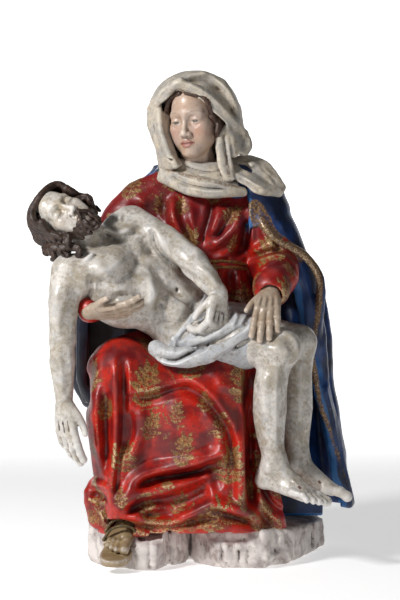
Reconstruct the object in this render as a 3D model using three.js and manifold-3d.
// Carved and painted pieta group: a seated, hooded mother holds her dead son on her lap, on a low rock base.
// Units are millimetres, +Z is up, -Y is the front, and the origin is the middle of the base's underside.
// The figures are shaped as clay on a grid of distances, skinned, thinned and cut to sit on the base.
import * as THREE from "three";
import { edgeTable, triTable } from "three/addons/objects/MarchingCubes.js";
import { mergeVertices } from "three/addons/utils/BufferGeometryUtils.js";
import Module from "manifold-3d";

const wasm = await Module();
wasm.setup();

// Driving sizes
const FIGURES_HEIGHT = 1110; // from the ground of the base to the top of the veil
const BASE_THICKNESS = 90; // underside to the level ground that the figures sit on
const BASE_WIDTH = 600;
const BASE_DEPTH = 475;
const LEDGE_WIDTH = 190; // the low front corner under the sandalled foot
const LEDGE_DEPTH = 85;
const LEDGE_SLOPE = 0.42; // radians, down towards the front
const WORN_SLOPE = 0.16; // radians, of the worn right end
const NOTCH_DEPTH = 70; // the cleft in the front face of the base
const SEAT_GAP = 0.3; // between the underside of the figures and the base
const SKIN_TRIANGLES = 9300; // of the finished figures

// The figures are laid out in shares: one share is a 449th of their height, and the ground is at share 36.
const SHARES_HIGH = 449;
const GROUND = 36;
const SHARE = FIGURES_HEIGHT / SHARES_HIGH;
const GRID_STEP = 2;
const GRID_LOW = [-178, -132, 12];
const GRID_HIGH = [152, 104, 492];
const FAR = 60;

// Vectors as plain arrays
const plus = (a, b) => a.map((v, i) => v + b[i]);
const times = (a, k) => a.map((v) => v * k);
const dot = (a, b) => a[0] * b[0] + a[1] * b[1] + a[2] * b[2];
const cross = (a, b) => [a[1] * b[2] - a[2] * b[1], a[2] * b[0] - a[0] * b[2], a[0] * b[1] - a[1] * b[0]];
const unit = (a) => times(a, 1 / Math.hypot(...a));
const { lerp, clamp, smoothstep } = THREE.MathUtils;

// A body's own directions: its left, its front and its crown, round a centre.
function stance(centre, crown, front) {
  const up = unit(crown);
  const left = unit(cross(up, front));
  const ahead = cross(left, up);
  const at = (l, f, u) => centre.map((c, i) => c + left[i] * l + ahead[i] * f + up[i] * u);
  return { centre, left, ahead, up, at };
}
const UPRIGHT = stance([0, 0, 0], [0, 0, 1], [0, -1, 0]);

// Shapes: each has a box and a signed distance, negative inside.
function egg(centre, radii, pose = UPRIGHT) {
  const reach = Math.max(...radii);
  const { left, ahead, up } = pose;
  return {
    low: centre.map((c) => c - reach),
    high: centre.map((c) => c + reach),
    at(x, y, z) {
      const dx = x - centre[0];
      const dy = y - centre[1];
      const dz = z - centre[2];
      const l = (dx * left[0] + dy * left[1] + dz * left[2]) / radii[0];
      const f = (dx * ahead[0] + dy * ahead[1] + dz * ahead[2]) / radii[1];
      const u = (dx * up[0] + dy * up[1] + dz * up[2]) / radii[2];
      const near = Math.sqrt(l * l + f * f + u * u);
      const slope = Math.sqrt((l / radii[0]) ** 2 + (f / radii[1]) ** 2 + (u / radii[2]) ** 2);
      return slope < 1e-9 ? -Math.min(...radii) : (near * (near - 1)) / slope;
    },
  };
}

// Beads along a smooth line through stations of [x, y, z, radius].
function beads(stations, perSpan = 4) {
  const spans = stations.length - 1;
  const curve = new THREE.CatmullRomCurve3(stations.map(([x, y, z]) => new THREE.Vector3(x, y, z)));
  const made = [];
  for (let i = 0; i <= spans * perSpan; i++) {
    const t = i / (spans * perSpan);
    const span = Math.min(Math.floor(t * spans), spans - 1);
    const { x, y, z } = curve.getPoint(t);
    made.push([x, y, z, lerp(stations[span][3], stations[span + 1][3], t * spans - span)]);
  }
  return made;
}

// Nearest place on a beaded line: how far its surface is, and how far along it.
class Line {
  constructor(line) {
    this.spans = [];
    for (let i = 1; i < line.length; i++) {
      const [ax, ay, az, ar] = line[i - 1];
      const [bx, by, bz, br] = line[i];
      const long = (bx - ax) ** 2 + (by - ay) ** 2 + (bz - az) ** 2 || 1e-9;
      this.spans.push({ ax, ay, az, ar, dx: bx - ax, dy: by - ay, dz: bz - az, dr: br - ar, long });
    }
    this.along = 0;
  }

  gap(x, y, z) {
    let best = Infinity;
    const { spans } = this;
    for (let i = 0; i < spans.length; i++) {
      const s = spans[i];
      const px = x - s.ax;
      const py = y - s.ay;
      const pz = z - s.az;
      const t = Math.min(Math.max((px * s.dx + py * s.dy + pz * s.dz) / s.long, 0), 1);
      const ex = px - t * s.dx;
      const ey = py - t * s.dy;
      const ez = pz - t * s.dz;
      const gap = Math.sqrt(ex * ex + ey * ey + ez * ez) - s.ar - t * s.dr;
      if (gap < best) {
        best = gap;
        this.along = (i + t) / spans.length;
      }
    }
    return best;
  }
}

function limb(stations, perSpan = 3) {
  const beaded = beads(stations, perSpan);
  const line = new Line(beaded);
  const thick = Math.max(...beaded.map((b) => b[3]));
  return {
    low: [0, 1, 2].map((k) => Math.min(...beaded.map((b) => b[k])) - thick),
    high: [0, 1, 2].map((k) => Math.max(...beaded.map((b) => b[k])) + thick),
    at: (x, y, z) => line.gap(x, y, z),
  };
}

function block(centre, half, round, pose = UPRIGHT) {
  const reach = Math.hypot(...half);
  const { left, ahead, up } = pose;
  return {
    low: centre.map((c) => c - reach),
    high: centre.map((c) => c + reach),
    at(x, y, z) {
      const d = [x - centre[0], y - centre[1], z - centre[2]];
      const q = [left, ahead, up].map((axis, i) => Math.abs(dot(d, axis)) - half[i] + round);
      return Math.hypot(...q.map((v) => Math.max(v, 0))) + Math.min(Math.max(...q), 0) - round;
    },
  };
}

// A body of level oval sections, each [height, centre x, centre y, half width, half depth].
function loft(sections, squareness, inset = 0) {
  const low = sections[0][0];
  const high = sections.at(-1)[0];
  const reach = (k, side) => Math.max(...sections.map((s) => side * s[k] + s[k + 2]));
  return {
    low: [-reach(1, -1), -reach(2, -1), low],
    high: [reach(1, 1), reach(2, 1), high],
    at(x, y, z) {
      let i = 1;
      while (i < sections.length - 1 && z > sections[i][0]) i++;
      const from = sections[i - 1];
      const to = sections[i];
      const even = clamp((z - from[0]) / (to[0] - from[0]), 0, 1);
      const t = 0.6 * even + 0.4 * even * even * (3 - 2 * even);
      const cx = from[1] + t * (to[1] - from[1]);
      const cy = from[2] + t * (to[2] - from[2]);
      const a = from[3] + t * (to[3] - from[3]) - inset;
      const b = from[4] + t * (to[4] - from[4]) - inset;
      const q = (Math.abs(x - cx) / a) ** squareness + (Math.abs(y - cy) / b) ** squareness;
      return Math.max((q ** (1 / squareness) - 1) * Math.min(a, b), low - z, z - high);
    },
  };
}

const both = (a, b) => ({ low: a.low, high: a.high, at: (x, y, z) => Math.max(a.at(x, y, z), b(x, y, z)) });

// A block of clay: distances on a grid, negative inside.
class Clay {
  constructor(low, high, step) {
    this.low = low;
    this.step = step;
    this.count = low.map((l, k) => Math.ceil((high[k] - l) / step) + 1);
    this.field = new Float32Array(this.count[0] * this.count[1] * this.count[2]).fill(FAR);
  }

  each(low, high, change) {
    const first = low.map((v, k) => clamp(Math.floor((v - this.low[k]) / this.step), 0, this.count[k] - 1));
    const last = high.map((v, k) => clamp(Math.ceil((v - this.low[k]) / this.step), 0, this.count[k] - 1));
    for (let k = first[2]; k <= last[2]; k++)
      for (let j = first[1]; j <= last[1]; j++) {
        let n = (k * this.count[1] + j) * this.count[0] + first[0];
        for (let i = first[0]; i <= last[0]; i++, n++)
          this.field[n] = change(this.field[n], this.low[0] + i * this.step, this.low[1] + j * this.step,
            this.low[2] + k * this.step);
      }
  }

  around(shape, margin, change) {
    this.each(shape.low.map((v) => v - margin), shape.high.map((v) => v + margin), change);
  }

  add(shape, blend = 1) {
    const deep = -blend - 3 * this.step;
    this.around(shape, blend + 3 * this.step, (old, x, y, z) => {
      if (old < deep) return old;
      const made = shape.at(x, y, z);
      const h = Math.max(blend - Math.abs(old - made), 0) / blend;
      return Math.min(old, made) - (h * h * blend) / 4;
    });
    return this;
  }

  cut(shape, blend = 1) {
    this.around(shape, blend, (old, x, y, z) => {
      const made = -shape.at(x, y, z);
      const h = Math.max(blend - Math.abs(old - made), 0) / blend;
      return Math.max(old, made) + (h * h * blend) / 4;
    });
    return this;
  }

  // Raises a ridge, or presses a furrow where height is negative, along stations of [x, y, z].
  stroke(stations, width, height, crisp = false) {
    const beaded = beads(stations.map((p) => [...p.slice(0, 3), 0]), 4);
    const line = new Line(beaded);
    const reach = (k, side) => side * Math.max(...beaded.map((b) => side * b[k])) + side * width;
    const deep = Math.abs(height) + 2 * this.step;
    this.each([0, 1, 2].map((k) => reach(k, -1)), [0, 1, 2].map((k) => reach(k, 1)), (old, x, y, z) => {
      if (Math.abs(old) > deep) return old;
      const gap = line.gap(x, y, z);
      if (gap >= width) return old;
      const { along } = line;
      const q = gap / width;
      const profile = crisp ? (1 - q) ** 1.6 : (1 - q * q) ** 2;
      return old - height * profile * Math.min(1, 5 * Math.min(along, 1 - along) + 0.25);
    });
    return this;
  }

  // Empties the outermost layer, so that the skin is closed.
  clearRim() {
    const [ni, nj, nk] = this.count;
    for (let n = 0; n < this.field.length; n++) {
      const i = n % ni;
      const j = Math.floor(n / ni) % nj;
      const k = Math.floor(n / (ni * nj));
      if (i * j * k === 0 || i === ni - 1 || j === nj - 1 || k === nk - 1) this.field[n] = Math.max(this.field[n], 1);
      if (this.field[n] === 0) this.field[n] = 1e-6;
    }
  }

  value(x, y, z) {
    const [i, j, k] = [x, y, z].map((v, a) => clamp(Math.round((v - this.low[a]) / this.step), 0, this.count[a] - 1));
    return this.field[(k * this.count[1] + j) * this.count[0] + i];
  }

  // The first surface met from one side, walking along axis in the given sense.
  skinAt(point, axis, sense) {
    const p = [...point];
    const ends = [this.low[axis], this.low[axis] + (this.count[axis] - 1) * this.step];
    p[axis] = sense > 0 ? ends[0] : ends[1];
    while (this.value(...p) > 0 && p[axis] >= ends[0] && p[axis] <= ends[1]) p[axis] += (sense * this.step) / 2;
    return p;
  }

  // Folds drawn on a surface seen from one side: pairs of [across, height].
  fold(view, pairs, width, height, crisp) {
    const spots = beads(pairs.map(([a, z]) => [a, 0, z, 0]), 3);
    const seen = spots.map(([a, , z]) => this.skinAt(view.axis === 1 ? [a, 0, z] : [0, a, z], view.axis, view.sense));
    return this.stroke(seen, width, height, crisp);
  }
}
const FROM_FRONT = { axis: 1, sense: 1 };
const FROM_BACK = { axis: 1, sense: -1 };
const FROM_LEFT = { axis: 0, sense: 1 };
const FROM_RIGHT = { axis: 0, sense: -1 };

// Skin of the clay: one vertex for each grid edge that it crosses, by the marching cubes tables.
const CORNERS = [[0, 0, 0, 1], [1, 0, 0, 2], [1, 1, 0, 4], [0, 1, 0, 8], [0, 0, 1, 16], [1, 0, 1, 32], [1, 1, 1, 64],
  [0, 1, 1, 128]];
const EDGES = [[0, 0, 0, 0], [1, 0, 0, 1], [0, 1, 0, 0], [0, 0, 0, 1], [0, 0, 1, 0], [1, 0, 1, 1], [0, 1, 1, 0],
  [0, 0, 1, 1], [0, 0, 0, 2], [1, 0, 0, 2], [1, 1, 0, 2], [0, 1, 0, 2]];
const LEAST_CUT = 0.1; // keeps vertices off the grid corners, so that no sliver is made

function skin(clay) {
  const { field, count, low, step } = clay;
  const stride = [1, count[0], count[0] * count[1]];
  const place = new Int32Array(field.length * 3).fill(-1);
  const vertices = [];
  const triangles = [];
  clay.clearRim();
  const vertexOn = (cell, i, j, k, edge) => {
    const [ei, ej, ek, axis] = EDGES[edge];
    const n = cell + ei + ej * stride[1] + ek * stride[2];
    const slot = n * 3 + axis;
    if (place[slot] < 0) {
      place[slot] = vertices.length / 3;
      const share = clamp(field[n] / (field[n] - field[n + stride[axis]]), LEAST_CUT, 1 - LEAST_CUT);
      const p = [i + ei, j + ej, k + ek];
      p[axis] += share;
      vertices.push(...p.map((v, a) => low[a] + v * step));
    }
    return place[slot];
  };
  for (let k = 0; k < count[2] - 1; k++)
    for (let j = 0; j < count[1] - 1; j++)
      for (let i = 0; i < count[0] - 1; i++) {
        const cell = i + j * stride[1] + k * stride[2];
        let kind = 0;
        for (const [ci, cj, ck, bit] of CORNERS)
          if (field[cell + ci + cj * stride[1] + ck * stride[2]] < 0) kind |= bit;
        if (!edgeTable[kind]) continue;
        for (let t = kind * 16; triTable[t] !== -1; t += 3)
          for (const corner of [0, 2, 1]) triangles.push(vertexOn(cell, i, j, k, triTable[t + corner]));
      }
  return { vertices: new Float64Array(vertices), triangles: new Int32Array(triangles) };
}

// Thins a skin to a number of triangles by joining the two ends of the edge that changes the form least.
// care gives how much a place matters: more triangles stay where it is high.
class Thinner {
  constructor({ vertices, triangles }, care) {
    this.v = vertices;
    this.t = triangles;
    this.left = triangles.length / 3;
    this.alive = new Uint8Array(this.left).fill(1);
    const total = vertices.length / 3;
    this.quadric = new Float64Array(total * 10);
    this.sum = new Float64Array(10);
    this.stamp = new Int32Array(total);
    this.faces = Array.from({ length: total }, () => []);
    this.heap = [];
    for (let f = 0; f < this.left; f++) {
      const p = triangles[f * 3] * 3;
      const { nx, ny, nz, area } = this.plane(f, -1, null);
      const weight = area * care(vertices[p], vertices[p + 1], vertices[p + 2]);
      const d = -(nx * vertices[p] + ny * vertices[p + 1] + nz * vertices[p + 2]);
      const q = [nx * nx, nx * ny, nx * nz, nx * d, ny * ny, ny * nz, ny * d, nz * nz, nz * d, d * d];
      for (let k = 0; k < 3; k++) {
        const vertex = triangles[f * 3 + k];
        this.faces[vertex].push(f);
        for (let m = 0; m < 10; m++) this.quadric[vertex * 10 + m] += q[m] * weight;
      }
    }
  }

  point(i) {
    return [this.v[i * 3], this.v[i * 3 + 1], this.v[i * 3 + 2]];
  }

  // The normal, area and longest side of a face, with one corner moved if asked.
  plane(f, moved, to) {
    const corner = (k) => (this.t[f * 3 + k] === moved ? to : this.point(this.t[f * 3 + k]));
    const a = corner(0);
    const b = corner(1);
    const c = corner(2);
    const ux = b[0] - a[0];
    const uy = b[1] - a[1];
    const uz = b[2] - a[2];
    const vx = c[0] - a[0];
    const vy = c[1] - a[1];
    const vz = c[2] - a[2];
    const nx = uy * vz - uz * vy;
    const ny = uz * vx - ux * vz;
    const nz = ux * vy - uy * vx;
    const long = Math.sqrt(nx * nx + ny * ny + nz * nz) || 1e-12;
    const side = Math.max(ux * ux + uy * uy + uz * uz, vx * vx + vy * vy + vz * vz,
      (ux - vx) ** 2 + (uy - vy) ** 2 + (uz - vz) ** 2);
    return { nx: nx / long, ny: ny / long, nz: nz / long, area: long / 2, side };
  }

  error(x, y, z) {
    const q = this.sum;
    return q[0] * x * x + 2 * q[1] * x * y + 2 * q[2] * x * z + 2 * q[3] * x + q[4] * y * y + 2 * q[5] * y * z
      + 2 * q[6] * y + q[7] * z * z + 2 * q[8] * z + q[9];
  }

  // Queues the joining of a and b, at its cost and at the best place for the joined vertex.
  push(a, b) {
    const q = this.sum;
    for (let m = 0; m < 10; m++) q[m] = this.quadric[a * 10 + m] + this.quadric[b * 10 + m];
    const pa = this.point(a);
    const pb = this.point(b);
    const mid = [(pa[0] + pb[0]) / 2, (pa[1] + pb[1]) / 2, (pa[2] + pb[2]) / 2];
    const long = (pa[0] - pb[0]) ** 2 + (pa[1] - pb[1]) ** 2 + (pa[2] - pb[2]) ** 2;
    const spots = [pa, pb, mid];
    const c0 = q[4] * q[7] - q[5] * q[5];
    const c1 = q[1] * q[7] - q[5] * q[2];
    const c2 = q[1] * q[5] - q[4] * q[2];
    const det = q[0] * c0 - q[1] * c1 + q[2] * c2;
    if (Math.abs(det) > 1e-3) {
      const x = -(q[3] * c0 - q[1] * (q[6] * q[7] - q[5] * q[8]) + q[2] * (q[6] * q[5] - q[4] * q[8])) / det;
      const y = -(q[0] * (q[6] * q[7] - q[8] * q[5]) - q[3] * c1 + q[2] * (q[1] * q[8] - q[6] * q[2])) / det;
      const z = -(q[0] * (q[4] * q[8] - q[5] * q[6]) - q[1] * (q[1] * q[8] - q[6] * q[2]) + q[3] * c2) / det;
      if ((x - mid[0]) ** 2 + (y - mid[1]) ** 2 + (z - mid[2]) ** 2 < 2 * long) spots.push([x, y, z]);
    }
    let cost = Infinity;
    let place = mid;
    for (const spot of spots) {
      const e = this.error(...spot);
      if (e < cost) {
        cost = e;
        place = spot;
      }
    }
    cost = Math.max(cost, 0) + 1e-4 * long;
    const item = { a, b, cost, place, stampA: this.stamp[a], stampB: this.stamp[b] };
    const { heap } = this;
    let i = heap.length;
    heap.push(item);
    while (i > 0) {
      const up = (i - 1) >> 1;
      if (heap[up].cost <= cost) break;
      heap[i] = heap[up];
      i = up;
    }
    heap[i] = item;
  }

  pop() {
    const { heap } = this;
    const top = heap[0];
    const item = heap.pop();
    if (!heap.length) return top;
    let i = 0;
    for (;;) {
      let down = 2 * i + 1;
      if (down >= heap.length) break;
      if (down + 1 < heap.length && heap[down + 1].cost < heap[down].cost) down++;
      if (heap[down].cost >= item.cost) break;
      heap[i] = heap[down];
      i = down;
    }
    heap[i] = item;
    return top;
  }

  ring(a) {
    const found = [];
    for (const f of this.faces[a])
      for (let k = 0; k < 3; k++) {
        const v = this.t[f * 3 + k];
        if (v !== a && !found.includes(v)) found.push(v);
      }
    return found;
  }

  // True if no face turns over or collapses when vertex a moves to place, other than those it shares with b.
  sound(a, b, place) {
    for (const f of this.faces[a]) {
      if (this.t[f * 3] === b || this.t[f * 3 + 1] === b || this.t[f * 3 + 2] === b) continue;
      const before = this.plane(f, -1, null);
      const after = this.plane(f, a, place);
      if (before.nx * after.nx + before.ny * after.ny + before.nz * after.nz < 0.35) return false;
      if (after.area < 0.05 * after.side) return false;
    }
    return true;
  }

  join(a, b, place) {
    const shared = this.faces[a].filter((f) => this.faces[b].includes(f));
    const ringA = this.ring(a);
    const common = this.ring(b).filter((v) => ringA.includes(v));
    if (shared.length !== 2 || common.length !== 2) return;
    if (common.some((v) => this.faces[v].length < 4)) return;
    if (!this.sound(a, b, place) || !this.sound(b, a, place)) return;
    this.v.set(place, a * 3);
    for (let m = 0; m < 10; m++) this.quadric[a * 10 + m] += this.quadric[b * 10 + m];
    for (const f of shared) {
      this.alive[f] = 0;
      this.left--;
      for (let k = 0; k < 3; k++) {
        const corner = this.t[f * 3 + k];
        this.faces[corner] = this.faces[corner].filter((g) => g !== f);
      }
    }
    for (const f of this.faces[b]) {
      for (let k = 0; k < 3; k++) if (this.t[f * 3 + k] === b) this.t[f * 3 + k] = a;
      this.faces[a].push(f);
    }
    this.faces[b] = [];
    this.stamp[a]++;
    this.stamp[b] = -1;
    for (const v of this.ring(a)) this.push(a, v);
  }

  run(target) {
    for (let f = 0; f < this.alive.length; f++)
      for (let k = 0; k < 3; k++) {
        const a = this.t[f * 3 + k];
        const b = this.t[f * 3 + ((k + 1) % 3)];
        if (a < b) this.push(a, b);
      }
    while (this.left > target && this.heap.length) {
      const { a, b, place, stampA, stampB } = this.pop();
      if (this.stamp[a] === stampA && this.stamp[b] === stampB) this.join(a, b, place);
    }
    const names = new Map();
    const vertices = [];
    const triangles = [];
    for (let f = 0; f < this.alive.length; f++) {
      if (!this.alive[f]) continue;
      for (let k = 0; k < 3; k++) {
        const old = this.t[f * 3 + k];
        if (!names.has(old)) {
          names.set(old, vertices.length / 3);
          vertices.push(...this.point(old));
        }
        triangles.push(names.get(old));
      }
    }
    return { vertices, triangles };
  }
}

// Anatomy, in shares. A head is laid out on the usual thirds and halves: eyes at half height, crown at +37.5,
// chin at -37.5, brow and base of the nose a third of the face apart.
function head(clay, pose, size) {
  const spot = (l, f, u) => pose.at(l * size, f * size, u * size);
  const oval = (l, f, u, radii, blend) => clay.add(egg(spot(l, f, u), times(radii, size), pose), blend * size);
  const rod = (stations, blend) => clay.add(limb(stations.map(([l, f, u, r]) => [...spot(l, f, u), r * size])), blend * size);
  oval(0, -5, 9, [25.5, 33, 28.5], 4);
  oval(0, 9, -8, [20.5, 22, 28], 8);
  for (const s of [-1, 1]) {
    rod([[s * 17, -2, -12, 6], [s * 14, 10, -24, 6], [s * 4, 21, -31, 6]], 8);
    oval(s * 15, 18, -6, [7, 8, 7], 8);
  }
  oval(0, 26, -31, [8, 6.5, 6.5], 5);
  rod([[-14, 24, 6.5, 3.5], [0, 28.5, 7, 4], [14, 24, 6.5, 3.5]], 5);
  for (const s of [-1, 1]) {
    clay.cut(egg(spot(s * 11, 33, 0.5), times([7.5, 7, 5], size), pose), 4 * size);
    oval(s * 11, 21.8, 0, [6.8, 6.5, 5.2], 1.5);
  }
  rod([[0, 28, 6, 2.8], [0, 32.5, -5, 3], [0, 36.5, -12.5, 3.8]], 3);
  for (const s of [-1, 1]) oval(s * 4.4, 31.5, -14, [3, 4, 2.6], 2.5);
  rod([[-7.5, 27.5, -21.5, 2], [0, 31, -20.8, 2.8], [7.5, 27.5, -21.5, 2]], 3);
  rod([[-6.5, 27, -25, 2], [0, 30.2, -26, 3], [6.5, 27, -25, 2]], 3);
}

// A hand: back is the way its back faces, thumbs is the side of the thumb, bends are the joints' turns in radians.
function hand(clay, wrist, along, back, side, size, bends, thumb) {
  const e1 = unit(along);
  const e2 = times(unit(cross(back, e1)), side);
  const e3 = times(cross(e1, e2), side);
  const at = (a, t, b) => wrist.map((w, i) => w + size * (e1[i] * a + e2[i] * t + e3[i] * b));
  const knuckles = [[33, 10], [34.5, 3.4], [33, -3.4], [29.5, -9.6]];
  const lengths = [[14, 9, 7], [15.5, 10, 7.5], [14.5, 9.5, 7], [11, 7, 6]];
  clay.add(limb([[...at(-4, 0, 0), 6.4 * size], [...at(10, 0, 0), 6.2 * size]]), 4);
  knuckles.forEach(([a, t], n) => {
    clay.add(limb([[...at(4, t * 0.5, 0), 5.6 * size], [...at(a * 0.6, t * 0.9, 0.6), 4.8 * size],
      [...at(a, t, 0), 4 * size]]), 3.5);
    let turn = 0;
    let p = [a, t, 0];
    const line = [[...at(...p), 4.1 * size]];
    lengths[n].forEach((length, k) => {
      turn += bends[n][k];
      const spread = t * 0.012 * length;
      p = [p[0] + Math.cos(turn) * length, p[1] + spread, p[2] - Math.sin(turn) * length];
      line.push([...at(...p), (3.9 - 0.3 * k) * size]);
    });
    for (let k = 1; k < line.length; k++) clay.add(limb([line[k - 1], line[k]], 2), 1.2);
  });
  const stations = [[6, 7, -1, 5.5], ...thumb];
  clay.add(limb(stations.map(([a, t, b, r]) => [...at(a, t, b), r * size]), 3), 2.5);
}

// A bare foot, from the ankle: along is heel to toes, inner is the side of the big toe.
function foot(clay, ankle, along, up, inner, size) {
  const e1 = unit(along);
  const e2 = times(unit(cross(up, e1)), inner);
  const e3 = times(cross(e1, e2), inner);
  const at = (a, t, b) => ankle.map((w, i) => w + size * (e1[i] * a + e2[i] * t + e3[i] * b));
  const bone = (stations, blend) => clay.add(limb(stations.map(([a, t, b, r]) => [...at(a, t, b), r * size])), blend);
  bone([[0, 0, 8, 11], [-8, 0, -10, 10], [-9, 0, -17, 9]], 6);
  bone([[2, 0, 0, 12], [18, 2, -9, 10.5], [36, 3, -17, 8.5], [46, 5, -20, 7]], 6);
  bone([[-6, 0, -18, 8], [20, -4, -19, 7.5], [44, -6, -21, 6.5]], 6);
  [[6, 0], [-8, -2]].forEach(([t, b]) => clay.add(egg(at(0, t * 1.4, b), [4, 4, 4].map((r) => r * size)), 5));
  const toes = [[8.5, 49, 20, 5.2], [1.5, 51, 17.5, 3.5], [-4, 49, 16, 3.3], [-9, 46, 14, 3.1], [-13.5, 42, 12, 3]];
  toes.forEach(([t, a, long, r]) => bone([[a - 10, t * 0.8, -20, r + 1.6], [a, t, -20, r], [a + long * 0.5, t * 1.05, -21, r * 0.92],
    [a + long * 0.8, t * 1.05, -23, r]], 1.6));
}

// Locks of hair: each a tapering wavy strand between two places.
function lock(clay, from, to, swell, thick, waves, seed) {
  const side = unit(cross(plus(to, times(from, -1)), swell));
  const stations = [0, 0.25, 0.5, 0.75, 1].map((t, i) => {
    const wave = Math.sin(i * 2.1 + seed) * waves;
    return [...from.map((f, k) => lerp(f, to[k], t) + swell[k] * Math.sin(Math.PI * t) + side[k] * wave), thick * (1.1 - 0.75 * t)];
  });
  clay.add(limb(stations, 2), 1.6);
}

// The son's body, lying back from lower right to upper left.
const SON_CHEST = stance([-74, -50, 271], [-0.745, -0.143, 0.652], [0.45, -0.74, 0.52]);
const SON_HEAD = stance([-139, -70, 331], [-0.86, 0.12, 0.47], [0.2, -0.87, 0.42]);
const SON = {
  shoulderR: [-132, -84, 281], elbowR: [-137, -90, 218], wristR: [-135, -93, 158],
  shoulderL: [-74, -36, 330], elbowL: [-14, -68, 289], wristL: [10, -82, 259],
  hipR: [-10, -48, 214], kneeR: [67, -84, 209], ankleR: [62, -80, 97],
  hipL: [-2, -28, 222], kneeL: [87, -52, 213], ankleL: [86, -44, 97],
};

function sonTorso(clay) {
  const { at } = SON_CHEST;
  const pose = SON_CHEST;
  const part = (l, f, u, radii, blend) => clay.add(egg(at(l, f, u), radii, pose), blend);
  part(0, 0, 6, [47, 33, 50], 4);
  part(0, 4, -46, [33, 25, 44], 16);
  part(0, 2, -78, [42, 30, 32], 12);
  part(22, 2, -44, [24, 24, 36], 14);
  [-1, 1].forEach((s) => {
    part(s * 20, 24, 26, [23, 12, 18], 9);
    part(s * 30, 8, 40, [24, 17, 18], 10);
    part(s * 34, -6, 10, [16, 20, 34], 10);
    part(s * 12, 25, -14, [12, 8, 22], 9);
    part(s * 10, 24, -50, [10, 7, 22], 7);
  });
  clay.stroke([at(0, 35, 34), at(0, 36, 10), at(0, 34, -20), at(0, 31, -50), at(0, 30, -70)], 7, -3);
  [-1, 1].forEach((s) => {
    clay.stroke([at(s * 2, 36, 4), at(s * 16, 33, -8), at(s * 28, 27, -24), at(s * 34, 18, -36)], 8, 2.4);
    clay.stroke([at(s * 4, 35, 12), at(s * 22, 36, 8), at(s * 38, 27, 16)], 7, -2.2);
    clay.stroke([at(s * 5, 33, 46), at(s * 22, 31, 50), at(s * 40, 20, 50)], 5, 2.4);
  });
  [0, 1, 2].forEach((n) => clay.stroke([at(-38, 26, -2 - n * 11), at(-44, 14, 4 - n * 11), at(-46, 0, 9 - n * 11)], 5, -1.6));
  clay.fold(FROM_FRONT, [[-31, 262], [-31, 265]], 5, -4);
}

function sonLimbs(clay) {
  const s = SON;
  const neck = SON_CHEST.at(3, 4, 50);
  clay.add(limb([[...neck, 18], [...SON_HEAD.at(0, -4, -24), 15], [...SON_HEAD.at(0, -6, -8), 15]]), 9);
  clay.add(limb([[...s.shoulderR, 16.5], [-136, -88, 252, 14.5], [...s.elbowR, 11.8]]), 10);
  clay.add(limb([[...s.elbowR, 11.5], [-137, -92, 196, 12], [...s.wristR, 7.6]]), 5);
  hand(clay, s.wristR, [0.1, -0.1, -1], [-0.55, -0.8, 0], 1, 0.88, [[0.1, 0.15, 0.15], [0.2, 0.25, 0.2],
    [0.3, 0.35, 0.3], [0.4, 0.4, 0.3]], [[17, 14, -3, 4.4], [27, 18, -5, 3.5], [35, 20, -5, 2.9]]);
  clay.add(limb([[...s.shoulderL, 16], [-44, -54, 312, 14.5], [...s.elbowL, 12.5]]), 10);
  clay.add(limb([[...s.elbowL, 12.5], [-2, -76, 275, 11.5], [...s.wristL, 7.8]]), 6);
  hand(clay, s.wristL, [-0.12, -0.25, -0.95], [0.62, -0.72, 0.1], -1, 0.85, [[0.9, 0.7, 0.4], [1.1, 0.8, 0.5],
    [1.2, 0.9, 0.5], [1.25, 0.9, 0.5]], [[15, 12, -6, 4.4], [22, 14, -14, 3.5], [28, 14, -19, 3]]);
  clay.add(limb([[...s.hipR, 30], [32, -70, 213, 24], [...s.kneeR, 18]]), 12);
  clay.add(limb([[...s.kneeR, 17.5], [60, -84, 184, 15.5], [58, -80, 150, 16], [59, -80, 120, 12.5], [...s.ankleR, 11]]), 6);
  clay.add(egg([76, -90, 208], [10, 10, 13]), 6);
  foot(clay, s.ankleR, [0.86, -0.46, -0.2], [0.2, -0.05, 0.98], 1, 0.86);
  clay.add(limb([[...s.hipL, 28], [40, -42, 220, 23], [...s.kneeL, 16.5]]), 12);
  clay.add(limb([[...s.kneeL, 16], [86, -50, 184, 14], [86, -46, 150, 15], [86, -44, 120, 12], [...s.ankleL, 10.5]]), 6);
  foot(clay, s.ankleL, [0.93, -0.28, -0.2], [0.2, -0.05, 0.98], -1, 0.86);
}

function sonHair(clay) {
  const { at } = SON_HEAD;
  clay.add(egg(at(0, -9, 11), [25, 28, 25], SON_HEAD), 2);
  for (const s of [-1, 1])
    for (let n = s > 0 ? 2 : 0; n < 7; n++) {
      const from = at(s * 21, 13 - n * 6, 16 - n);
      const to = at(s * (23 + 2 * Math.sin(n)), 6 - n * 5, -20 - 4 * Math.cos(0.32 * n));
      lock(clay, from, to, times(SON_HEAD.left, s * 4), 5.5, 2.5, n + s);
    }
  for (let n = 0; n < 5; n++) {
    const across = (n - 2) * 7;
    const back = Math.abs(n - 2) * 2.5;
    lock(clay, at(across * 0.8, 18 - back, -23), at(across * 0.9, 20 - back, -37), [0, -2, -1], 5, 1.5, n);
  }
  clay.add(egg(at(0, 17, -26), [13, 8, 9], SON_HEAD), 4);
  lock(clay, at(-20, 8, -14), [-124, -94, 302], [-2, -6, 0], 6, 2.5, 2);
  lock(clay, at(-24, 2, -14), [-146, -80, 290], [-5, -4, 0], 7, 2.5, 4);
  lock(clay, at(-22, -6, -8), [-153, -66, 296], [-5, -2, 0], 7, 2.5, 5);
  lock(clay, at(18, 8, 0), [-112, -60, 344], [2, -4, 4], 5.5, 2.5, 1);
}

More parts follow.
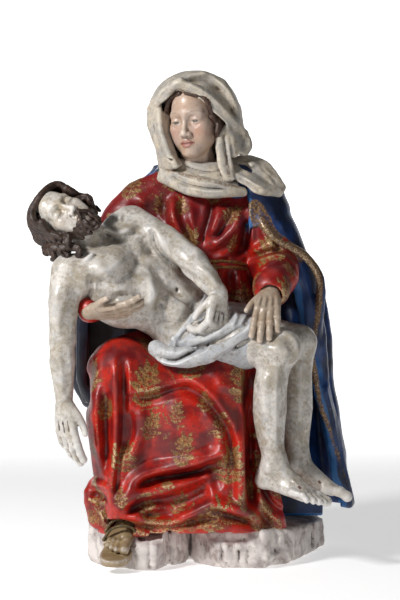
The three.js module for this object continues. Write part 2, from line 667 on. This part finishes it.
// The mother, seated.
const MOTHER_HEAD = stance([-10, -8, 441], [-0.13, -0.15, 0.98], [-0.4, -0.88, -0.3]);
const MOTHER = {
  shoulderR: [-64, 12, 350], elbowR: [-104, -6, 275], wristR: [-112, -84, 243],
  shoulderL: [46, 12, 348], elbowL: [84, 2, 288], wristL: [59, -62, 262],
};

function motherBody(clay) {
  clay.add(limb([[-12, 0, 408, 17], [-6, 10, 384, 19]]), 4);
  clay.add(egg([-8, 18, 345], [64, 36, 36]), 8);
  clay.add(egg([-4, 14, 318], [48, 38, 38]), 12);
  clay.add(egg([-30, -6, 330], [20, 20, 20]), 10);
  clay.add(egg([20, -6, 328], [20, 20, 20]), 10);
  clay.add(egg([0, 18, 285], [40, 34, 40]), 12);
  clay.add(egg([0, 25, 240], [62, 50, 50]), 16);
  const m = MOTHER;
  clay.add(limb([[...m.shoulderR, 24], [-88, 4, 312, 25], [...m.elbowR, 23]]), 12);
  clay.add(limb([[...m.elbowR, 22], [-110, -50, 252, 17], [...m.wristR, 12]]), 8);
  clay.add(limb([[...m.shoulderL, 25], [68, 8, 318, 26], [...m.elbowL, 24]]), 12);
  clay.add(limb([[...m.elbowL, 24], [76, -30, 276, 21], [63, -56, 266, 17]]), 10);
}

function motherSkirt(clay) {
  clay.add(limb([[-45, 40, 195, 38], [-82, -58, 186, 29]]), 14);
  clay.add(limb([[32, 40, 190, 38], [10, -58, 178, 28]]), 14);
  clay.add(block([-34, 10, 150], [74, 72, 60], 26), 20);
  clay.add(limb([[-86, -64, 184, 28], [-90, -62, 140, 27], [-84, -62, 70, 22], [-80, -50, 46, 24]]), 14);
  clay.add(limb([[10, -64, 176, 26], [16, -62, 120, 26], [22, -60, 40, 26]]), 14);
  clay.add(block([-34, -40, 110], [56, 46, 80], 22), 20);
  clay.add(loft([[34, -20, -8, 90, 80], [48, -20, -8, 82, 76], [90, -24, -4, 76, 74]], 3), 14);
  clay.add(limb([[44, -30, 150, 14], [50, -40, 90, 15], [60, -50, 30, 16]]), 8);
  clay.add(limb([[-98, -44, 84, 10], [-109, -48, 67, 11], [-105, -50, 45, 11]]), 6);
}

const SKIRT_FOLDS = [ // [points, width, height, crisp]
  [[[-85, 198], [-87, 156], [-88, 130], [-91, 103], [-92, 77], [-95, 58]], 10, 8],
  [[[-79, 190], [-81, 163], [-80, 117], [-82, 90], [-88, 63]], 9, -9],
  [[[-78, 168], [-57, 168], [-38, 173], [-23, 179], [-10, 175], [2, 165], [16, 149], [26, 132], [29, 115], [29, 88],
    [30, 59]], 9, 7],
  [[[-74, 161], [-55, 160], [-36, 164], [-23, 169], [-11, 166], [0, 157], [12, 143], [21, 128]], 7, -4],
  [[[-76, 171], [-62, 178], [-53, 188], [-46, 197]], 8, 6],
  [[[-66, 158], [-62, 136], [-67, 117], [-74, 101]], 13, 6],
  [[[-32, 155], [-22, 132], [-27, 112]], 34, 7],
  [[[-87, 59], [-71, 79], [-56, 91], [-32, 98], [-5, 101], [15, 108], [22, 116]], 10, 9],
  [[[-65, 80], [-38, 84], [-12, 90], [13, 102]], 10, -12],
  [[[-81, 56], [-65, 69], [-46, 76], [-27, 80], [-3, 88]], 9, 7],
  [[[-8, 75], [-27, 63], [-46, 53]], 15, -9],
  [[[-91, 48], [-65, 48], [-45, 44], [-25, 44], [-5, 48], [15, 52], [34, 54], [47, 44]], 9, 9],
  [[[-69, 58], [-46, 54], [-22, 55], [-3, 62]], 8, -6],
  [[[38, 184], [37, 156], [37, 117], [37, 84], [39, 61]], 9, -18],
  [[[31, 184], [30, 156], [29, 117], [30, 84]], 7, 6],
  [[[-102, 197], [-106, 160], [-102, 122], [-98, 89]], 11, 5],
  [[[-97, 193], [-97, 150], [-96, 113], [-95, 84]], 7, -6],
];
const CHEST_FOLDS = [
  [[[5, 360], [0, 340], [-3, 315], [-6, 303]], 6, -5, true],
  [[[-32, 356], [-34, 340], [-27, 322], [-18, 307]], 9, 6],
  [[[14, 356], [18, 338], [16, 318], [7, 301]], 10, 5],
  [[[31, 348], [28, 328], [18, 310], [4, 297]], 8, 6],
  [[[-45, 348], [-40, 328], [-28, 308]], 8, -5],
  [[[-13, 350], [-12, 328], [-12, 308]], 8, -4],
  [[[-65, 358], [-54, 346], [-44, 330]], 8, 5],
  [[[46, 291], [58, 304], [70, 313]], 8, 7],
  [[[50, 284], [64, 296], [80, 301]], 6, -7],
  [[[40, 345], [42, 320], [44, 296]], 9, -10],
];

// The blue mantle: an outer loft, hollowed where it hangs clear of the body.
const MANTLE = [ // height, centre x, centre y, half width, half depth
  [34, 24, 18, 122, 74], [54, 25, 18, 122, 74], [84, 19, 18, 119, 72], [134, 8, 16, 122, 70], [174, -5, 16, 127, 68],
  [224, -6, 16, 125, 64], [279, -8, 14, 118, 58], [319, -11, 14, 103, 52], [345, -9, 14, 92, 46], [366, -2, 14, 76, 40],
  [388, -4, 14, 50, 32],
];

function mantle(clay) {
  const outer = loft(MANTLE, 2.4);
  const front = (x, y, z) => -12 - y + (x < 0 ? 8 : 0) + (x > 40 ? -8 * smoothstep(z, 120, 260) : 0);
  clay.add(both(outer, front), 2);
  const inner = loft(MANTLE, 2.4, 8);
  clay.cut(both(inner, (x, y, z) => Math.max(40 - x, y - 24 - 0.03 * (z - 60), z - 326)), 4);
  clay.cut(both(inner, (x, y, z) => Math.max(x + 84, y - 20, z - 300, 110 - z)), 4);
  clay.cut(block([-134, 0, 88], [30, 70, 62], 4), 4);
  clay.cut(block([150, 0, 20], [36, 120, 27], 3, stance([0, 0, 0], [0.1, 0, 1], [0, -1, 0])), 3);
}

const MANTLE_EDGES = [
  [[46, -14, 346, 4], [62, -26, 316, 4], [92, -24, 298, 4], [107, -20, 279, 4.5], [110, -18, 262, 4.5], [107, -18, 234, 4.5],
    [101, -18, 202, 4.5]],
  [[101, -18, 202, 4], [111, -12, 154, 4], [121, -10, 124, 4], [132, -9, 84, 4], [139, -8, 54, 4.5]],
  [[104, -12, 216, 5], [109, -8, 186, 7], [117, -5, 156, 7], [125, -4, 124, 6], [131, -4, 96, 4]],
  [[-121, 0, 290, 3.5], [-127, -1, 230, 3.5], [-128, -1, 180, 3.5], [-124, 2, 154, 3.5]],
];
const BACK_FOLDS = [
  [[[-80, 300], [-84, 220], [-78, 130], [-80, 50]], 16, 9],
  [[[-52, 330], [-50, 240], [-56, 150], [-52, 45]], 14, -9],
  [[[-24, 350], [-20, 250], [-26, 150], [-22, 45]], 17, 9],
  [[[8, 345], [10, 260], [6, 150], [12, 45]], 14, -9],
  [[[38, 330], [42, 240], [40, 140], [46, 45]], 17, 9],
  [[[68, 300], [70, 220], [76, 130], [80, 50]], 14, -8],
  [[[95, 260], [98, 190], [104, 120], [112, 50]], 14, 6],
];
const RIGHT_FOLDS = [
  [[[32, 320], [30, 240], [34, 150], [38, 50]], 14, 6],
  [[[56, 300], [54, 220], [58, 130], [60, 50]], 12, -6],
  [[[10, 300], [8, 230], [10, 150], [14, 60]], 10, -3],
];
const LINING_FOLDS = [
  [[[72, 190], [76, 130], [80, 60]], 9, -6],
  [[[96, 250], [98, 180], [100, 110], [104, 60]], 9, 6],
  [[[108, 200], [112, 130], [118, 70]], 7, -5],
];
const LEFT_FOLDS = [
  [[[34, 320], [36, 240], [32, 150], [36, 50]], 14, 7],
  [[[56, 310], [58, 230], [54, 140], [58, 50]], 14, -8],
  [[[-40, 170], [-36, 130], [-42, 90], [-40, 60]], 10, -6],
  [[[-8, 150], [-4, 110], [-8, 60]], 12, 6],
];

// The pale veil: a hood, its two falls and the scarf round the neckline.
function veil(clay) {
  clay.add(egg([-14, 10, 440], [44, 44, 44]), 3);
  clay.add(limb([[-15, 18, 430, 38], [-8, 26, 390, 34]]), 10);
  clay.add(limb([[-44, 2, 440, 9], [-42, 0, 410, 10], [-36, 0, 384, 10]]), 6);
  clay.cut(egg([-10, -42, 426], [36, 40, 36]), 4);
  clay.cut(egg([-8, -34, 396], [20, 30, 24]), 4);
  clay.add(limb([[-52, -14, 448, 6], [-53, -20, 434, 6], [-48, -22, 416, 7], [-43, -22, 398, 7], [-36, -24, 387, 7]]), 5);
  clay.add(limb([[-50, -16, 452, 5], [-38, -26, 464, 5.5], [-22, -28, 467, 5.5], [-4, -26, 460, 5.5], [10, -20, 446, 5],
    [22, -12, 436, 5]]), 4);
  clay.add(limb([[24, -10, 432, 6], [31, -10, 412, 9], [28, -14, 396, 9], [22, -18, 380, 8]]), 5);
  clay.add(egg([33, 0, 408], [8, 20, 15]), 6);
  clay.add(limb([[34, 6, 410, 12], [46, 8, 392, 14], [58, 8, 376, 13]]), 8);
  clay.add(egg([50, 10, 374], [26, 26, 12]), 6);
  clay.add(limb([[-46, 0, 386, 8], [-40, -14, 376, 8.5], [-20, -24, 368, 9], [2, -26, 363, 9], [22, -22, 366, 9],
    [34, -12, 370, 8]]), 4);
  clay.add(egg([-6, 6, 376], [34, 26, 12]), 6);
  clay.cut(egg([33, -22, 388], [6, 10, 12]), 3);
  clay.fold(FROM_FRONT, [[-44, 452], [-24, 474], [6, 470], [22, 444]], 8, 3);
  clay.fold(FROM_FRONT, [[-30, 466], [-8, 474], [16, 458], [32, 430]], 5, -3);
  clay.fold(FROM_BACK, [[-34, 460], [-30, 420], [-36, 390]], 9, -4);
  clay.fold(FROM_BACK, [[2, 465], [4, 420], [8, 385]], 9, -4);
  clay.fold(FROM_BACK, [[-16, 470], [-12, 425], [-14, 390]], 9, 4);
}

function loincloth(clay) {
  const { at } = SON_CHEST;
  const pose = SON_CHEST;
  const level = (p) => (p[0] - pose.centre[0]) * pose.up[0] + (p[1] - pose.centre[1]) * pose.up[1]
    + (p[2] - pose.centre[2]) * pose.up[2];
  const below = (x, y, z) => level([x, y, z]) + 62;
  clay.add(both(egg(at(0, 2, -80), [46, 34, 38], pose), below), 2);
  clay.add(both(limb([[-12, -48, 214, 34], [18, -62, 214, 30], [34, -70, 214, 26]]), below), 3);
  clay.add(limb([[0, -28, 224, 31], [30, -38, 224, 27]]), 3);
  clay.add(limb([[-56, -84, 216, 4], [-34, -93, 202, 8], [-12, -96, 199, 9], [8, -97, 201, 9], [24, -95, 211, 8],
    [37, -92, 224, 6]]), 3);
}

const SON_CLOTH_FOLDS = [
  [[[-42, 206], [-30, 203], [-13, 211], [6, 220], [25, 231], [38, 244]], 6, -5, true],
  [[[-28, 222], [-12, 222], [6, 232], [22, 244]], 7, 3],
  [[[-1, 260], [-14, 244], [-26, 228]], 5, 3],
];

function motherHands(clay) {
  hand(clay, MOTHER.wristR, [0.96, -0.2, 0.0], [0.1, -0.6, -0.8], 1, 0.8, [[0.25, 0.2, 0.15], [0.25, 0.2, 0.15],
    [0.28, 0.2, 0.15], [0.3, 0.25, 0.15]], [[14, 14, -1, 4.4], [20, 21, -1, 3.6], [26, 25, -1, 3]]);
  hand(clay, MOTHER.wristL, [-0.17, -0.62, -0.77], [0, -0.78, 0.63], -1, 0.95, [[0.2, 0.15, 0.1], [0.2, 0.15, 0.1],
    [0.2, 0.15, 0.1], [0.25, 0.15, 0.1]], [[12, 14, -2, 4.5], [19, 21, -4, 3.7], [25, 26, -6, 3.1]]);
}

function motherFoot(clay) {
  foot(clay, [-75, -46, 60], [-0.22, -0.93, -0.29], [-0.07, -0.28, 0.96], 1, 0.95);
}

// Nothing hangs below the ground, except the foot on its ledge.
function trimGround(clay) {
  clay.each(GRID_LOW, [...GRID_HIGH.slice(0, 2), GROUND + 8], (old, x, y, z) => {
    const ledge = x < -56 && y < -56;
    return ledge ? old : Math.max(old, GROUND - 4 - z);
  });
}

function draw(clay, view, folds) {
  folds.forEach(([pairs, width, height, crisp]) => clay.fold(view, pairs, width, height, crisp));
}

function figures() {
  const clay = new Clay(GRID_LOW, GRID_HIGH, GRID_STEP);
  mantle(clay);
  draw(clay, FROM_BACK, BACK_FOLDS);
  draw(clay, FROM_RIGHT, RIGHT_FOLDS);
  draw(clay, FROM_FRONT, LINING_FOLDS);
  MANTLE_EDGES.forEach((edge) => clay.add(limb(edge), 3));
  motherSkirt(clay);
  motherBody(clay);
  draw(clay, FROM_FRONT, SKIRT_FOLDS);
  draw(clay, FROM_FRONT, CHEST_FOLDS);
  draw(clay, FROM_LEFT, LEFT_FOLDS);
  veil(clay);
  head(clay, MOTHER_HEAD, 0.93);
  sonTorso(clay);
  sonLimbs(clay);
  loincloth(clay);
  draw(clay, FROM_FRONT, SON_CLOTH_FOLDS);
  head(clay, SON_HEAD, 0.82);
  sonHair(clay);
  motherHands(clay);
  trimGround(clay);
  motherFoot(clay);
  return clay;
}

// Solids of closed meshes, for cutting.
function solidOf(vertices, triangles) {
  return new wasm.Manifold(new wasm.Mesh({
    numProp: 3, vertProperties: new Float32Array(vertices), triVerts: new Uint32Array(triangles),
  }));
}

function solidOfGeometry(geometry) {
  const bare = geometry.index ? geometry.toNonIndexed() : geometry.clone();
  const merged = mergeVertices(new THREE.BufferGeometry().setAttribute("position", bare.getAttribute("position")), 1e-3);
  return solidOf(merged.attributes.position.array, merged.index.array);
}

function geometryOf(solid) {
  const { vertProperties, triVerts } = solid.getMesh();
  return new THREE.BufferGeometry()
    .setAttribute("position", new THREE.BufferAttribute(vertProperties, 3))
    .setIndex(new THREE.BufferAttribute(triVerts, 1));
}

// The rock base: an outline in shares of its width and depth, with a cleft in front, chipped faces and a low corner.
const BASE_OUTLINE = [[-0.5, 0], [-0.48, -0.24], [-0.41, -0.38], [-0.27, -0.5], [-0.2, -0.5], [-0.16, -0.4], [0.02, -0.4],
  [0.06, -0.43], [0.22, -0.43], [0.34, -0.31], [0.41, -0.08], [0.5, 0.22], [0.48, 0.44], [0.16, 0.5], [-0.26, 0.5],
  [-0.45, 0.42]];
const WORN_FROM = 0.27; // of the width
const NOTCH_AT = -0.07; // of the width
const NOTCH_HALF_WIDTH = 0.085;

function baseSolid(raise = 0) {
  const points = BASE_OUTLINE.map(([x, y]) => new THREE.Vector2(x * BASE_WIDTH, y * BASE_DEPTH));
  const slab = new THREE.ExtrudeGeometry(new THREE.Shape(points), { depth: BASE_THICKNESS + raise, bevelEnabled: false });
  let solid = solidOfGeometry(slab);
  const carve = (tool, place, turns) => {
    tool.applyMatrix4(new THREE.Matrix4().makeRotationFromEuler(new THREE.Euler(...turns)));
    solid = solid.subtract(solidOfGeometry(tool.translate(...place)));
  };
  const front = -0.5 * BASE_DEPTH;
  const top = BASE_THICKNESS + raise;
  const notch = new THREE.Shape([
    new THREE.Vector2((NOTCH_AT - NOTCH_HALF_WIDTH) * BASE_WIDTH, front - 1),
    new THREE.Vector2((NOTCH_AT + NOTCH_HALF_WIDTH) * BASE_WIDTH, front - 1),
    new THREE.Vector2(NOTCH_AT * BASE_WIDTH, -0.4 * BASE_DEPTH + NOTCH_DEPTH),
  ]);
  const wedge = new THREE.ExtrudeGeometry(notch, { depth: BASE_THICKNESS + 4, bevelEnabled: false });
  solid = solid.subtract(solidOfGeometry(wedge.translate(0, 0, -2)));
  const worn = new THREE.BoxGeometry(BASE_WIDTH, 3 * BASE_DEPTH, BASE_THICKNESS);
  worn.translate(BASE_WIDTH / 2, 0, BASE_THICKNESS / 2);
  carve(worn, [WORN_FROM * BASE_WIDTH, 0, top], [0, WORN_SLOPE, 0]);
  const ledge = new THREE.BoxGeometry(LEDGE_WIDTH, 2 * BASE_DEPTH, BASE_THICKNESS);
  ledge.translate(LEDGE_WIDTH / 2, 0, BASE_THICKNESS / 2);
  carve(ledge, [-0.5 * BASE_WIDTH, front + LEDGE_DEPTH, top], [LEDGE_SLOPE, 0, 0]);
  return solid;
}

const toWorld = (vertices) => vertices.map((v, n) => (n % 3 === 2 ? (v - GROUND) * SHARE + BASE_THICKNESS : v * SHARE));

const fineParts = [
  [MOTHER_HEAD.centre, 46, 7], [SON_HEAD.centre, 44, 6], [plus(SON.wristR, [0, 0, -25]), 34, 5], [SON.wristL, 36, 4],
  [MOTHER.wristR, 44, 4], [plus(MOTHER.wristL, [-8, -10, -20]), 40, 4], [[70, -95, 72], 42, 3], [[-80, -80, 30], 34, 3],
];
const care = (x, y, z) => fineParts.reduce((most, [c, r, w]) => (
  (x - c[0]) ** 2 + (y - c[1]) ** 2 + (z - c[2]) ** 2 < r * r ? Math.max(most, w) : most), 1);
const skinned = new Thinner(skin(figures()), care).run(SKIN_TRIANGLES);
const figuresSolid = solidOf(toWorld(skinned.vertices), skinned.triangles);
const seated = figuresSolid.subtract(baseSolid(SEAT_GAP));
const largest = seated.decompose().sort((a, b) => b.volume() - a.volume())[0];

const paint = new THREE.MeshStandardMaterial({ color: 0x9a3a30, roughness: 0.5, metalness: 0 });
const stone = new THREE.MeshStandardMaterial({ color: 0xc9c3b8, roughness: 0.85, metalness: 0 });
const group = new THREE.Group();
const addPiece = (name, solid, material) => {
  const mesh = new THREE.Mesh(geometryOf(solid), material);
  mesh.name = name;
  group.add(mesh);
};
addPiece("figures", largest, paint);
addPiece("rock_base", baseSolid(), stone);

export default group;
